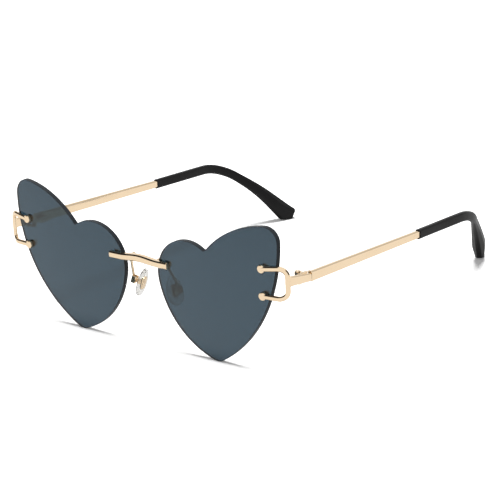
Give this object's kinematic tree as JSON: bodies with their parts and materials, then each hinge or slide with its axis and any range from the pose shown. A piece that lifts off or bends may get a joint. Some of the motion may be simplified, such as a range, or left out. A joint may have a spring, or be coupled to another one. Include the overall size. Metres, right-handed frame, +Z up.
{
  "type": "heart shaped sunglasses",
  "caption": "Rimless sunglasses with heart shaped tinted lenses, a slim metal bridge, soft nose pads and folding metal temples that end in black curved tips.",
  "frame": {"origin": "on the table, at the middle of the open glasses' footprint", "axes": "+X to the wearer's left, +Y from the lenses back along the temples, +Z up from the table"},
  "size_m": [0.1384, 0.1508, 0.0554],
  "materials": {
    "lens": "polished grey tint",
    "gold": "polished pale gold plate",
    "tip": "satin black",
    "pad": "clear soft silicone",
    "washer": "natural"
  },
  "bodies": {
    "front": {"bridge": "gold", "lens_washers": "washer", "lens_nuts": "gold", "lens_left": "lens", "lens_right": "lens", "end_piece_left": "gold", "end_piece_right": "gold", "hinge_screw_left": "gold", "hinge_screw_right": "gold", "nose_pad_arm_left": "gold", "nose_pad_arm_right": "gold", "nose_pad_screw_left": "gold", "nose_pad_screw_right": "gold"},
    "temple_left": {"temple_left": "gold", "temple_tip_left": "tip"},
    "nose_pad_left": {"nose_pad_left": "pad", "nose_pad_core_left": "gold"},
    "temple_right": {"temple_right": "gold", "temple_tip_right": "tip"},
    "nose_pad_right": {"nose_pad_right": "pad", "nose_pad_core_right": "gold"}
  },
  "joints": [
    {"name": "temple_left_fold", "type": "hinge", "parent": "front", "child": "temple_left", "pos_m": [0.0655, -0.06215, 0.0351], "axis": [0, 0, 1], "range_deg": [0, 88]},
    {"name": "temple_right_fold", "type": "hinge", "parent": "front", "child": "temple_right", "pos_m": [-0.0655, -0.06215, 0.0351], "axis": [0, 0, -1], "range_deg": [0, 80]},
    {"name": "nose_pad_left_rock", "type": "hinge", "parent": "front", "child": "nose_pad_left", "pos_m": [0.01103, -0.06524, 0.02152], "axis": [-0.2923, -0.9562, 0.0168], "range_deg": [-10, 10]},
    {"name": "nose_pad_right_rock", "type": "hinge", "parent": "front", "child": "nose_pad_right", "pos_m": [-0.01103, -0.06524, 0.02152], "axis": [0.2923, -0.9562, 0.0168], "range_deg": [-10, 10]}
  ]
}
